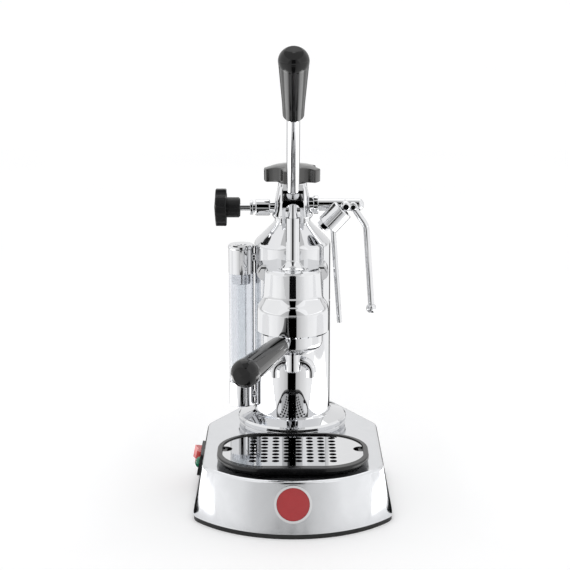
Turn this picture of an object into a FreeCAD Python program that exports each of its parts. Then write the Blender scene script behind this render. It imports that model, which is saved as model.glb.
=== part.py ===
import FreeCAD, Part
import Sketcher
import math
import os

# Lever espresso machine, millimetres, +Z up, front towards -Y.
# Origin: middle of the base in plan, on the surface the feet stand on.

V = FreeCAD.Vector
Rot = FreeCAD.Rotation
Pla = FreeCAD.Placement
UP = V(0, 0, 1)

doc = FreeCAD.newDocument("espresso_machine")
sheet = doc.addObject("Spreadsheet::Sheet", "dims")
rows = [0]
nodes = []


class E:
    """A number together with the sheet expression that gives it."""

    def __init__(self, v, t):
        self.v = float(v)
        self.t = t

    def __add__(self, o):
        o = lift(o)
        return E(self.v + o.v, "(%s + %s)" % (self.t, o.t))

    def __radd__(self, o):
        return lift(o) + self

    def __sub__(self, o):
        o = lift(o)
        return E(self.v - o.v, "(%s - %s)" % (self.t, o.t))

    def __rsub__(self, o):
        return lift(o) - self

    def __mul__(self, o):
        o = lift(o)
        return E(self.v * o.v, "(%s * %s)" % (self.t, o.t))

    def __rmul__(self, o):
        return lift(o) * self

    def __truediv__(self, o):
        o = lift(o)
        return E(self.v / o.v, "(%s / %s)" % (self.t, o.t))

    def __neg__(self):
        return E(-self.v, "(0 - %s)" % self.t)


def lift(o):
    return o if isinstance(o, E) else E(o, "(%.6f)" % float(o))


def dim(name, value):
    rows[0] += 1
    sheet.set("A%d" % rows[0], name)
    sheet.set("B%d" % rows[0], "%.6g" % value)
    sheet.setAlias("B%d" % rows[0], name)
    return E(value, "dims." + name)


def bind(obj, prop, e):
    e = lift(e)
    setattr(obj, prop, e.v)
    if "dims." in e.t:
        obj.setExpression(prop, e.t)


def place(obj, at, rot=None):
    at = [lift(c) for c in at]
    obj.Placement = Pla(V(at[0].v, at[1].v, at[2].v), rot or Rot())
    for axis, c in zip("xyz", at):
        if "dims." in c.t:
            obj.setExpression("Placement.Base." + axis, c.t)
    return obj


def node(obj, name):
    obj.Label = name
    nodes.append((name, obj))
    return obj


# ---------------------------------------------------------------- sketching


def new_body(label):
    b = doc.addObject("PartDesign::Body", label)
    b.Label = label
    return b


def new_sketch(body, label, plane, offset=0.0):
    sk = body.newObject("Sketcher::SketchObject", label)
    for f in body.Origin.OriginFeatures:
        if f.Role == plane:
            sk.AttachmentSupport = (f, [""])
    sk.MapMode = "FlatFace"
    off = lift(offset)
    if off.v:
        sk.AttachmentOffset = Pla(V(0, 0, off.v), Rot())
        if "dims." in off.t:
            sk.setExpression("AttachmentOffset.Base.z", off.t)
    return sk


def loop(sk, pts, arcs=None):
    """A closed loop through pts. arcs gives side -> (x, y of a point on it, radius)."""
    arcs = arcs or {}
    xy = [(lift(a), lift(b)) for a, b in pts]
    n = len(xy)
    geo = []
    for i in range(n):
        p = V(xy[i][0].v, xy[i][1].v, 0)
        k = (i + 1) % n
        q = V(xy[k][0].v, xy[k][1].v, 0)
        if i in arcs:
            m = V(lift(arcs[i][0]).v, lift(arcs[i][1]).v, 0)
            g = sk.addGeometry(Part.Arc(p, m, q), False)
            fwd = sk.Geometry[g].StartPoint.distanceToPoint(p) < 1e-6
            geo.append((g, 1 if fwd else 2, 2 if fwd else 1))
        else:
            g = sk.addGeometry(Part.LineSegment(p, q), False)
            geo.append((g, 1, 2))
    cons, exprs = [], []
    for i in range(n):
        a, b = geo[i], geo[(i + 1) % n]
        cons.append(Sketcher.Constraint("Coincident", a[0], a[2], b[0], b[1]))
        exprs.append(None)
    for i in range(n):
        g = geo[i]
        for kind, e in zip(("DistanceX", "DistanceY"), xy[i]):
            cons.append(Sketcher.Constraint(kind, -1, 1, g[0], g[1], e.v))
            exprs.append(e)
    for i in arcs:
        e = lift(arcs[i][2])
        cons.append(Sketcher.Constraint("Radius", geo[i][0], e.v))
        exprs.append(e)
    start = sk.ConstraintCount
    sk.addConstraint(cons)
    for k, e in enumerate(exprs):
        if e is not None and "dims." in e.t:
            sk.setExpression("Constraints[%d]" % (start + k), e.t)


def through(p, m, q):
    """The arc through three points, as loop wants it."""
    a, b, c = [V(lift(u).v, lift(w).v, 0) for u, w in (p, m, q)]
    area = (b - a).cross(c - a).Length
    return (m[0], m[1], (b - a).Length * (c - b).Length * (a - c).Length / (2 * area))


def hole_in(sk, x, y, r):
    x, y, r = lift(x), lift(y), lift(r)
    g = sk.addGeometry(Part.Circle(V(x.v, y.v, 0), UP, r.v), False)
    start = sk.ConstraintCount
    sk.addConstraint(
        [
            Sketcher.Constraint("DistanceX", -1, 1, g, 3, x.v),
            Sketcher.Constraint("DistanceY", -1, 1, g, 3, y.v),
            Sketcher.Constraint("Radius", g, r.v),
        ]
    )
    for k, e in enumerate((x, y, r)):
        if "dims." in e.t:
            sk.setExpression("Constraints[%d]" % (start + k), e.t)


def ring_at(r, z):
    r, z = lift(r).v, lift(z).v

    def test(e):
        c = e.Curve if e.Length > 1e-6 else None
        return (
            isinstance(c, Part.Circle)
            and abs(c.Radius - r) < 0.03
            and abs(c.Center.z - z) < 0.03
            and abs(abs(c.Axis.z) - 1) < 1e-3
        )

    return test


def upright_near(x, y, reach=1.0):
    x, y = lift(x).v, lift(y).v

    def test(e):
        a, b = e.Vertexes[0].Point, e.Vertexes[-1].Point
        lo = a if a.z < b.z else b
        return abs(a.z - b.z) > 1e-3 and math.hypot(lo.x - x, lo.y - y) < reach

    return test


def edges_at_z(z):
    z = lift(z).v

    def test(e):
        box = e.BoundBox
        return abs(box.ZMin - z) < 0.01 and abs(box.ZMax - z) < 0.01

    return test


def soften(body, feat, test, radius, kind="PartDesign::Fillet"):
    doc.recompute()
    names = ["Edge%d" % (i + 1) for i, e in enumerate(feat.Shape.Edges) if test(e)]
    if not names:
        raise RuntimeError("no edge found on " + body.Label)
    f = body.newObject(kind, body.Label + "_edge")
    f.Base = (feat, names)
    bind(f, "Radius" if kind.endswith("Fillet") else "Size", radius)
    body.Tip = f
    return f


def turned(label, pts, at=(0, 0, 0), along=None, rounds=(), arcs=None):
    """A turned piece: profile in (radius, height), about its own Z."""
    body = new_body(label)
    sk = new_sketch(body, label + "_profile", "XZ_Plane")
    loop(sk, pts, arcs)
    rev = body.newObject("PartDesign::Revolution", label + "_turn")
    rev.Profile = sk
    rev.ReferenceAxis = (sk, ["V_Axis"])
    rev.Angle = 360.0
    body.Tip = rev
    feat = rev
    for (r, z), rad in rounds:
        feat = soften(body, feat, ring_at(r, z), rad)
    place(body, at, Rot(UP, along) if along else None)
    return body


def padded(label, plane, pts, a, b, arcs=None, taper=None, corners=(), at=(0, 0, 0), rot=None, top=None, bottom=None):
    """A padded outline from offset a to b of a plane; corners are ((x, y), radius)."""
    body = new_body(label)
    sk = new_sketch(body, label + "_outline", plane, a)
    loop(sk, pts, arcs)
    pad = body.newObject("PartDesign::Pad", label + "_pad")
    pad.Profile = sk
    bind(pad, "Length", lift(b) - a)
    if taper is not None:
        bind(pad, "TaperAngle", taper)
    body.Tip = pad
    feat = pad
    for (x, y), rad in corners:
        feat = soften(body, feat, upright_near(x, y), rad)
    if top is not None:
        feat = soften(body, feat, edges_at_z(b), top)
    if bottom is not None:
        feat = soften(body, feat, edges_at_z(a), bottom, "PartDesign::Chamfer")
    place(body, at, rot)
    return body


def rounded_slab(label, hw, y0, y1, rad, z0, z1, top=None, bottom=None):
    pts = [(-hw, y0), (hw, y0), (hw, y1), (-hw, y1)]
    return padded(label, "XY_Plane", pts, z0, z1, corners=[(p, rad) for p in pts], top=top, bottom=bottom)


# ------------------------------------------------------------- plain solids


def cyl(label, r, length, at, along=UP):
    o = doc.addObject("Part::Cylinder", label)
    o.Label = label
    bind(o, "Radius", r)
    bind(o, "Height", length)
    return place(o, at, Rot(UP, along))


def box(label, size, at, rot=None):
    o = doc.addObject("Part::Box", label)
    o.Label = label
    for prop, e in zip(("Length", "Width", "Height"), size):
        bind(o, prop, e)
    return place(o, at, rot)


def ball(label, r, at):
    o = doc.addObject("Part::Sphere", label)
    o.Label = label
    bind(o, "Radius", r)
    return place(o, at)


def hexagon(label, r, length, at, along=UP):
    o = doc.addObject("Part::Prism", label)
    o.Label = label
    o.Polygon = 6
    bind(o, "Circumradius", r)
    bind(o, "Height", length)
    return place(o, at, Rot(UP, along))


def fuse(label, objs):
    if len(objs) == 1:
        return objs[0]
    o = doc.addObject("Part::MultiFuse", label)
    o.Label = label
    o.Shapes = objs
    o.Refine = True
    return o


def cut(label, base, tools):
    o = doc.addObject("Part::Cut", label)
    o.Label = label
    o.Base = base
    o.Tool = fuse(label + "_tools", tools)
    o.Refine = True
    return o


def common(label, a, b):
    o = doc.addObject("Part::Common", label)
    o.Label = label
    o.Base = a
    o.Tool = b
    return o


def group_of(label, objs):
    o = doc.addObject("Part::Compound", label)
    o.Label = label
    o.Links = objs
    return o


def bent(label, r, pts, bend, plane_at, rot=None):
    """A round bar swept along a line of points in the local XZ plane, corners bent to radius."""
    pts = [(lift(a), lift(b)) for a, b in pts]
    path = doc.addObject("Sketcher::SketchObject", label + "_path")
    corner = []
    for i, (x, z) in enumerate(pts):
        p = V(x.v, z.v, 0)
        if i in (0, len(pts) - 1):
            corner.append((p, p, None))
            continue
        a = V(pts[i - 1][0].v, pts[i - 1][1].v, 0) - p
        b = V(pts[i + 1][0].v, pts[i + 1][1].v, 0) - p
        ang = a.getAngle(b)
        a.normalize()
        b.normalize()
        t = lift(bend).v / math.tan(ang / 2)
        mid = a + b
        mid.normalize()
        c = p + mid * (lift(bend).v / math.sin(ang / 2))
        corner.append((p + a * t, p + b * t, c - mid * lift(bend).v))
    edges = []
    for i in range(len(pts) - 1):
        path.addGeometry(Part.LineSegment(corner[i][1], corner[i + 1][0]), False)
        edges.append("Edge%d" % (len(edges) + 1))
        if corner[i + 1][2] is not None:
            path.addGeometry(Part.Arc(corner[i + 1][0], corner[i + 1][2], corner[i + 1][1]), False)
            edges.append("Edge%d" % (len(edges) + 1))
    path.Placement = Pla(V(0, 0, 0), Rot(V(1, 0, 0), 90))
    ring = doc.addObject("Part::Circle", label + "_ring")
    bind(ring, "Radius", r)
    d = corner[1][0] - corner[0][1]
    ring.Placement = Pla(V(corner[0][0].x, 0, corner[0][0].y), Rot(UP, V(d.x, 0, d.y)))
    o = doc.addObject("Part::Sweep", label)
    o.Label = label
    o.Sections = [ring]
    o.Spine = (path, edges)
    o.Solid = True
    o.Frenet = False
    o.Transition = "Round corner"
    return place(o, plane_at, rot)


# ------------------------------------------------------------------- sizes

boiler_y = dim("boiler_y", 44)
group_y = dim("group_y", -34)

base_half = dim("base_half_width", 95.4)
base_front = dim("base_front", -145)
base_corner = dim("base_front_corner", -95)
base_side = dim("base_side_end", 45)
base_rear = dim("base_rear", 144)
base_rear_half = dim("base_rear_half", 42)
base_low = dim("base_low", 4.8)
base_top = dim("base_top", 53)
base_wall = dim("base_wall", 1.6)
base_lean = dim("base_lean_deg", 11.2)
front_round = dim("front_corner_round", 22)
rear_round = dim("rear_corner_round", 30)
trim_inset = dim("trim_inset", 1.0)
foot_radius = dim("foot_radius", 9)

tray_half = dim("tray_half_width", 72.5)
tray_front = dim("tray_front", -122.5)
tray_back = dim("tray_back", -13.2)
tray_round = dim("tray_round", 45)
tray_top = dim("tray_top", 61)
tray_floor = dim("tray_floor", 40)
grille_half = dim("grille_half_width", 67.3)
grille_front = dim("grille_front", -113.5)
grille_back = dim("grille_back", -18)
grille_low = dim("grille_low", 58.45)
grille_high = dim("grille_high", 59.9)
grille_hole = dim("grille_hole_radius", 3.5)
grille_step_x = dim("grille_step_x", 10.9)
grille_step_y = dim("grille_step_y", 9.8)

collar_radius = dim("collar_radius", 55)
collar_top = dim("collar_top", 68.8)
boiler_radius = dim("boiler_radius", 38)
boiler_wall = dim("boiler_wall", 2.2)
boiler_shoulder = dim("boiler_shoulder", 243.5)
boiler_neck = dim("boiler_neck", 264.5)
spigot_radius = dim("spigot_radius", 31)
head_low = dim("head_low", 268)
head_top = dim("head_top", 303.5)
cap_bore = dim("cap_bore", 8.2)
cap_radius = dim("cap_knob_radius", 28.5)
cap_top = dim("cap_top", 322)

valve_z = dim("valve_z", 277.6)
valve_knob = dim("valve_knob_radius", 18.7)
spindle_radius = dim("spindle_radius", 3.3)
manifold_z = dim("manifold_z", 280.4)
manifold_radius = dim("manifold_radius", 6)
manifold_end = dim("manifold_end", 71)
wand_radius = dim("wand_radius", 3)
wand_tip = dim("wand_tip_radius", 5)
frother_radius = dim("frother_radius", 11)
frother_length = dim("frother_length", 22.4)
frother_pipe = dim("frother_pipe_radius", 2.5)

gauge_x = dim("gauge_x", -51.5)
gauge_radius = dim("gauge_radius", 12.6)
glass_radius = dim("glass_radius", 5)

bell_low = dim("bell_low", 170.6)
bell_radius = dim("bell_radius", 34.7)
bell_waist = dim("bell_waist", 28.8)
bell_top = dim("bell_top", 232)
bell_top_radius = dim("bell_top_radius", 27.2)
tower_half = dim("tower_half_width", 6.6)
tower_top = dim("tower_top", 281)
sleeve_bore = dim("sleeve_bore", 23)
sleeve_outer = dim("sleeve_outer", 25.2)
rod_radius = dim("piston_rod_radius", 4.5)
rod_pin_z = dim("rod_pin_z", 289.2)
rod_pin = dim("rod_pin_radius", 2.5)
fulcrum_y = dim("fulcrum_y", -15.47)
fulcrum_z = dim("fulcrum_z", 274.7)
fulcrum_pin_r = dim("fulcrum_pin_radius", 3)
run_gap = dim("running_gap", 0.06)

lever_lean = dim("lever_lean_deg", 40)
fork_inner = dim("fork_inner", 7)
fork_outer = dim("fork_outer", 10.3)
lever_radius = dim("lever_rod_radius", 6.0)
grip_start = dim("grip_start", 149.5)
grip_end = dim("grip_end", 227)
grip_thin = dim("grip_thin_radius", 9.65)
grip_thick = dim("grip_thick_radius", 13.45)

holder_radius = dim("holder_radius", 28.7)
holder_low = dim("holder_low", 150)
holder_top = dim("holder_top", 178.2)
holder_turn = dim("holder_turn_deg", -17.8)
holder_axis_z = dim("holder_handle_z", 165.5)
spout_low = dim("spout_low", 130)
spout_tip = dim("spout_tip", 124.4)
spout_reach = dim("spout_reach", 18)

doc.recompute()

LEAN = math.radians(base_lean.v)
tan_lean = math.tan(LEAN)

# -------------------------------------------------------------------- base


def base_outline(d):
    """The base's plan outline, moved out by d."""
    d = lift(d)
    hw = base_half + d
    fy = base_corner - d * 0.31
    pts = [
        (-hw, fy),
        (hw, fy),
        (hw, base_side + d * 0.2508),
        (base_rear_half + d * 0.599, base_rear + d),
        (-(base_rear_half + d * 0.599), base_rear + d),
        (-hw, base_side + d * 0.2508),
    ]
    rise = fy - (base_front - d)
    rad = (hw * hw + rise * rise) / (rise * 2)
    return pts, {0: (lift(0), base_front - d, rad)}


def base_block(label, d, z0, z1, leaning, top=None):
    pts, arcs = base_outline(d)
    d = lift(d)
    fr, rr = front_round + d, rear_round + d
    corners = [(pts[0], fr), (pts[1], fr), (pts[2], rr), (pts[3], rr), (pts[4], rr), (pts[5], rr)]
    return padded(
        label, "XY_Plane", pts, z0, z1, arcs=arcs, taper=-base_lean if leaning else None, corners=corners, top=top
    )


shell_out = base_block("shell_out", 0, base_low, base_top, True, top=3)
shell_in = base_block("shell_in", -base_wall * 1.05, base_low, base_top - base_wall, True)
well_gap = rounded_slab("well_gap", tray_half - 6, tray_front + 12, tray_back - 6, 38.5, 48, 56)
boiler_gap = cyl("boiler_gap", spigot_radius + 0.2, 20, (0, boiler_y, 40))
switch_at = (-base_half + (30 - base_low.v) * tan_lean, -1, 30)
switch_rot = Rot(V(0, 1, 0), 180 + base_lean.v)
switch_gap = box("switch_gap", (24, 44.2, 17.4), (0, 0, 0))
inlet_at = (0, base_rear - (27 - base_low.v) * tan_lean, 27)
inlet_rot = Rot(V(1, 0, 0), base_lean.v)


def seated(obj, rot, origin, local):
    """Put obj at a local point of a tilted seat."""
    o = [lift(c) for c in origin]
    s = rot.multVec(V(*[lift(c).v for c in local]))
    return place(obj, (o[0] + s.x, o[1] + s.y, o[2] + s.z), rot)


seated(switch_gap, switch_rot, switch_at, (-12, -22.1, -8.7))
inlet_gap = box("inlet_gap", (26.2, 24, 20.2), (0, 0, 0))
seated(inlet_gap, inlet_rot, inlet_at, (-13.1, -12, -10.1))
node(cut("shell_cut", shell_out, [shell_in, well_gap, boiler_gap, switch_gap, inlet_gap]), "base_shell")

trim_out = base_block("trim_out", -trim_inset, 0, base_low, False)
trim_in = base_block("trim_in", -6, -1, base_low + 1, False)
node(cut("trim_cut", trim_out, [trim_in]), "base_trim")
node(base_block("plate", -2.3, base_low, base_low + 1.4, False), "base_plate")

feet = []
for i, (x, y) in enumerate([(-62, -88), (62, -88), (-44, 94), (44, 94)]):
    feet.append(
        turned(
            "foot_%d" % i,
            [(0, 0), (foot_radius - 1.2, 0), (foot_radius, 1.2), (foot_radius - 0.8, base_low), (0, base_low)],
            at=(x, y, 0),
        )
    )
node(group_of("feet", feet), "base_feet")

# badge: a plain enamel disc in a ring, curved to the front wall
badge_at = V(0, base_front.v + (32.5 - base_low.v) * tan_lean, 32.5)
badge_dir = V(0, -math.cos(LEAN), math.sin(LEAN))
skin_in = base_block("skin_in", 0.02, base_low, base_top, True)
skin_disc = base_block("skin_disc", 1.0, base_low, base_top, True)
skin_ring = base_block("skin_ring", 1.7, base_low, base_top, True)
start = badge_at - badge_dir * 8
disc_round = cyl("disc_round", 15.4, 16, tuple(start), badge_dir)
ring_round = cyl("ring_round", 17.6, 16, tuple(start), badge_dir)
node(common("badge_disc", cut("badge_skin", skin_disc, [skin_in]), disc_round), "badge")
node(
    common(
        "badge_rim",
        cut("badge_rim_skin", skin_ring, [skin_in]),
        cut("badge_rim_round", ring_round, [cyl("disc_hole", 15.42, 18, tuple(badge_at - badge_dir * 9), badge_dir)]),
    ),
    "badge_ring",
)

# switch, lamp and inlet
flange = padded(
    "switch_flange",
    "YZ_Plane",
    [(-24.5, -11), (24.5, -11), (24.5, 11), (-24.5, 11)],
    0,
    2.6,
)
flange_f = soften(flange, flange.Tip, lambda e: abs(e.Length - 2.6) < 1e-3, 3)
seated(flange, switch_rot, switch_at, (0.05, 0, 0))
body_box = box("switch_box", (10, 44, 17.2), (0, 0, 0))
seated(body_box, switch_rot, switch_at, (-9.9, -22, -8.6))
rocker_gap = box("rocker_gap", (20, 22, 13), (0, 0, 0))
seated(rocker_gap, switch_rot, switch_at, (-14, -1, -6.5))
lamp_dir = switch_rot.multVec(V(1, 0, 0))
lamp_at = V(*[lift(c).v for c in switch_at]) + V(0, -13.5, 0)
lamp_gap = cyl("lamp_gap", 5.6, 24, tuple(lamp_at - lamp_dir * 14), lamp_dir)
node(cut("bezel_cut", fuse("bezel_raw", [flange, body_box]), [rocker_gap, lamp_gap]), "switch_bezel")

rocker_round = cyl("rocker_round", 10.7, 12.4, (0, 0, 0))
seated(rocker_round, switch_rot, switch_at, (2.5, 10, -6.2))
rocker_face = padded(
    "rocker_face", "XY_Plane", [(-8, -2), (6.9, -2), (5.7, 10), (11.1, 22), (-8, 22)], -7, 7
)
seated(rocker_face, switch_rot, switch_at, (0, 0, 0))
node(common("rocker", rocker_round, rocker_face), "power_rocker")
node(
    turned(
        "lamp",
        [(0, -8), (5.5, -8), (5.5, 2.9), (5.0, 4.2), (3.6, 5.6), (1.8, 6.4), (0, 6.6)],
        at=tuple(lamp_at),
        along=lamp_dir,
    ),
    "pilot_lamp",
)
inlet_flange = box("inlet_flange", (31, 2.4, 25), (0, 0, 0))
seated(inlet_flange, inlet_rot, inlet_at, (-15.5, 0.05, -12.5))
inlet_box = box("inlet_box", (26, 14, 20), (0, 0, 0))
seated(inlet_box, inlet_rot, inlet_at, (-13, -13.9, -10))
inlet_well = box("inlet_well", (21, 14, 15), (0, 0, 0))
seated(inlet_well, inlet_rot, inlet_at, (-10.5, -10, -7.5))
pins = []
for i, (x, z) in enumerate([(-6, -2), (0, 3), (6, -2)]):
    p = box("inlet_pin_%d" % i, (1.6, 4.6, 4), (0, 0, 0))
    pins.append(seated(p, inlet_rot, inlet_at, (x - 0.8, -10.5, z - 2)))
node(
    fuse("inlet_all", [cut("inlet_cut", fuse("inlet_raw", [inlet_flange, inlet_box]), [inlet_well])] + pins),
    "power_inlet",
)

# ------------------------------------------------------------ tray, grille

rim = rounded_slab("tray_rim", tray_half, tray_front, tray_back, tray_round, base_top + 0.15, tray_top, top=1.6, bottom=4.6)
well_out = rounded_slab("tray_well", tray_half - 7, tray_front + 13, tray_back - 7, 38, tray_floor, base_top + 2)
seat = rounded_slab("tray_seat", grille_half + 0.5, grille_front - 0.5, grille_back + 0.5, 40, grille_low - 0.05, tray_top + 2)
well_in = rounded_slab("tray_inside", tray_half - 9.2, tray_front + 15.2, tray_back - 9.2, 36, tray_floor + 2.2, tray_top + 2)
node(cut("tray_cut", fuse("tray_raw", [rim, well_out]), [seat, well_in]), "drip_tray")

grille_body = rounded_slab("grille_plate", grille_half, grille_front, grille_back, 39.5, grille_low, grille_high)
hole_sk = new_sketch(grille_body, "grille_hole", "XY_Plane", grille_high)
grille_mid = (grille_front + grille_back) / 2 + 4.3
hole_in(hole_sk, -grille_step_x * 3.5, grille_mid - grille_step_y * 3.5, grille_hole)
pocket = grille_body.newObject("PartDesign::Pocket", "grille_pocket")
pocket.Profile = hole_sk
pocket.Length = 6
grille_body.Tip = pocket
doc.recompute()
multi = grille_body.newObject("PartDesign::MultiTransform", "grille_rows")
lin = []
for ax, step in (("H_Axis", grille_step_x), ("V_Axis", grille_step_y)):
    lp = doc.addObject("PartDesign::LinearPattern", "grille_line_" + ax[0])
    lp.Direction = (hole_sk, [ax])
    bind(lp, "Length", step * 7)
    lp.Occurrences = 8
    grille_body.addObject(lp)
    lin.append(lp)
multi.Originals = [pocket]
multi.Transformations = lin
grille_body.Tip = multi
notches = []
for i, s in enumerate((-1, 1)):
    edge = grille_half * s
    notches.append(cyl("notch_round_%d" % i, 7.5, 6, (edge - 1.6 * s, grille_mid, grille_low - 2)))
    notches.append(box("notch_box_%d" % i, (10, 15, 6), (edge - 1.6 * s if s > 0 else edge - 8.4, grille_mid - 7.5, grille_low - 2)))
recess = box("grille_recess", (87, 140, 4), (-43.5, -140, grille_high - 0.5))
node(cut("grille_cut", grille_body, notches + [recess]), "drip_grille")

# ------------------------------------------------------------------ boiler

at_boiler = (0, boiler_y, 0)
node(
    turned(
        "collar",
        [
            (spigot_radius, base_top),
            (collar_radius - 2.4, base_top),
            (collar_radius - 0.8, base_top + 1.8),
            (collar_radius - 0.8, base_top + 4.4),
            (collar_radius - 1.8, base_top + 5.4),
            (collar_radius, base_top + 6.6),
            (collar_radius, base_top + 9.8),
            (collar_radius - 1.6, base_top + 11.4),
            (boiler_radius + 3, collar_top - 0.9),
            (boiler_radius + 0.6, collar_top + 0.6),
            (boiler_radius + 0.05, collar_top),
            (spigot_radius, collar_top),
        ],
        at=at_boiler,
        rounds=[((collar_radius, base_top + 9.8), 1.0), ((boiler_radius + 3, collar_top - 0.9), 3.0)],
    ),
    "boiler_collar",
)
boiler_raw = turned(
    "boiler_raw",
    [
        (spigot_radius, 34),
        (spigot_radius, collar_top),
        (boiler_radius, collar_top),
        (boiler_radius, 183.5),
        (boiler_radius - 0.45, 183.9),
        (boiler_radius - 0.45, 184.3),
        (boiler_radius, 184.7),
        (boiler_radius, boiler_shoulder),
        (19.4, boiler_neck - 2.5),
        (17.6, boiler_neck),
        (17.6, head_low),
        (15, head_low),
        (15, boiler_neck - 2),
        (boiler_radius - boiler_wall, boiler_shoulder - 1.2),
        (boiler_radius - boiler_wall, collar_top + 3),
        (spigot_radius - 2.5, collar_top + 1),
        (spigot_radius - 2.5, 34),
    ],
    at=at_boiler,
    rounds=[((boiler_radius, boiler_shoulder), 7.0)],
)
node(
    cut(
        "boiler_cut",
        boiler_raw,
        [
            cyl("port_group", 4, 14, (0, boiler_y - 30, 204), V(0, -1, 0)),
            cyl("port_gauge_top", 5, 16, (-30, boiler_y, 227), V(-1, 0, 0)),
            cyl("port_gauge_low", 5, 16, (-30, boiler_y, 85), V(-1, 0, 0)),
        ],
    ),
    "boiler",
)
node(
    turned(
        "ring_nut",
        [(spigot_radius, 44.4), (41, 44.4), (42, 45.4), (42, 50.4), (41, 51.35), (spigot_radius, 51.35)],
        at=at_boiler,
    ),
    "boiler_ring_nut",
)
node(
    turned(
        "element_flange",
        [
            (0, 30),
            (spigot_radius + 2, 30),
            (spigot_radius + 2, 33.95),
            (spigot_radius - 2.5, 33.95),
            (spigot_radius - 2.5, 42),
            (0, 42),
        ],
        at=at_boiler,
    ),
    "element_flange",
)
node(
    bent("heater", 4, [(-12, 42), (-12, 132), (12, 132), (12, 42)], 11.5, at_boiler),
    "heating_element",
)
node(turned("thermostat", [(0, 20), (8, 20), (8, 26), (5.5, 27), (5.5, 30), (0, 30)], at=at_boiler), "thermostat")

head_raw = turned(
    "head_raw",
    [
        (5, 256),
        (15, 256),
        (15, head_low),
        (19.0, head_low),
        (20.3, head_low + 1.8),
        (19.9, head_low + 3.6),
        (14.4, 299.5),
        (14.2, head_top),
        (cap_bore, head_top),
        (cap_bore, 288),
        (5, 284.5),
    ],
    at=at_boiler,
    rounds=[((20.3, head_low + 1.8), 1.6), ((14.4, 299.5), 4.0), ((14.2, head_top), 0.8)],
)
node(
    cut(
        "head_cut",
        fuse("head_whole", [head_raw, cyl("head_boss", 7.6, 10.6, (10, boiler_y, manifold_z), V(1, 0, 0))]),
        [
            cyl("bore_valve", 5.5, 14, (-12, boiler_y, valve_z), V(-1, 0, 0)),
            cyl("bore_valve_in", 3, 10, (-4, boiler_y, valve_z), V(-1, 0, 0)),
            cyl("bore_manifold", manifold_radius, 14, (12, boiler_y, manifold_z), V(1, 0, 0)),
            cyl("bore_manifold_in", 3, 10, (4, boiler_y, manifold_z), V(1, 0, 0)),
            cyl("bore_safety", 5, 14, (0, boiler_y + 12, valve_z), V(0, 1, 0)),
            cyl("bore_safety_in", 2.5, 10, (0, boiler_y + 4, valve_z), V(0, 1, 0)),
        ],
    ),
    "boiler_head",
)
safety = turned(
    "safety_round",
    [(0, 12), (5, 12), (5, 20), (6.6, 20), (6.6, 38), (7.4, 38), (7.4, 44), (6.2, 45.2), (0, 45.2)],
    at=(0, boiler_y, valve_z),
    along=V(0, 1, 0),
)
node(
    fuse("safety_all", [safety, hexagon("safety_hex", 9, 6, (0, boiler_y + 20, valve_z), V(0, 1, 0))]),
    "safety_valve",
)

# --------------------------------------------------------------------- cap

node(
    turned("cap_ring", [(8.4, head_top + 0.05), (11.4, head_top + 0.05), (11.4, head_top + 1), (8.4, head_top + 1)], at=at_boiler),
    "cap_gasket",
)
node(
    turned(
        "cap_stem",
        [
            (0, 289.5),
            (cap_bore - 1.2, 289.5),
            (cap_bore - 0.08, 290.7),
            (cap_bore - 0.08, head_top + 1.05),
            (11.6, head_top + 1.05),
            (11.6, head_top + 2.5),
            (5, head_top + 2.5),
            (5, head_top + 8.5),
            (0, head_top + 8.5),
        ],
        at=at_boiler,
    ),
    "cap_plug",
)


def lobed_knob(label, profile, lobes, first, scallop, depth_at, low, high, soft):
    """A hand knob: turned blank with scallops between its lobes, edges softened."""
    body = turned(label, profile)
    feat = body.Tip
    sk = new_sketch(body, label + "_scallop", "XY_Plane", low)
    a = math.radians(first)
    dd = lift(depth_at)
    hole_in(sk, dd * math.cos(a), dd * math.sin(a), scallop)
    pk = body.newObject("PartDesign::Pocket", label + "_pocket")
    pk.Profile = sk
    pk.Length = lift(high).v - lift(low).v
    pk.Reversed = True
    body.Tip = pk
    doc.recompute()
    pol = body.newObject("PartDesign::PolarPattern", label + "_round")
    pol.Originals = [pk]
    pol.Axis = (sk, ["N_Axis"])
    pol.Angle = 360
    pol.Occurrences = lobes
    body.Tip = pol
    doc.recompute()
    rmax = max(lift(p[0]).v for p in profile)

    def lip(e):
        b = e.BoundBox
        far = max(math.hypot(v.Point.x, v.Point.y) for v in e.Vertexes)
        return b.DiagonalLength > 0.5 and far > rmax * 0.6 and e.Length > 0.5

    f = soften(body, pol, lip, soft)
    return body


cap = lobed_knob(
    "cap_blank",
    [
        (5, head_top + 2.5),
        (12.5, head_top + 2.5),
        (14, head_top + 1.8),
        (cap_radius - 0.2, head_top + 1.0),
        (cap_radius, head_top + 14.0),
        (17, cap_top - 1.6),
        (8, cap_top - 0.3),
        (0, cap_top),
        (0, head_top + 8.5),
        (5, head_top + 8.5),
    ],
    5,
    226,
    15,
    cap_radius + 7,
    head_top - 3,
    cap_top + 3,
    1.5,
)
place(cap, at_boiler)
node(cap, "cap_knob")

# ------------------------------------------------------------- steam valve

LEFT = V(-1, 0, 0)
RIGHT = V(1, 0, 0)
FRONT = V(0, -1, 0)
at_valve = (0, boiler_y, valve_z)
node(
    turned(
        "valve_round",
        [
            (spindle_radius + 1.6, 12),
            (5.5, 12),
            (5.5, 22.3),
            (8.1, 22.3),
            (8.1, 37),
            (spindle_radius + 0.08, 37),
            (spindle_radius + 0.08, 19),
            (spindle_radius + 1.6, 19),
        ],
        at=at_valve,
        along=LEFT,
        rounds=[((8.1, 22.3), 1.2), ((8.1, 37), 1.2)],
    ),
    "steam_valve_body",
)
node(
    turned(
        "packing",
        [
            (spindle_radius + 0.08, 37),
            (5, 37),
            (5, 39.4),
            (7.2, 39.4),
            (7.2, 42.4),
            (spindle_radius + 0.08, 42.4),
        ],
        at=at_valve,
        along=LEFT,
        rounds=[((7.2, 39.4), 0.6), ((7.2, 42.4), 0.6)],
    ),
    "packing_nut",
)
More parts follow.
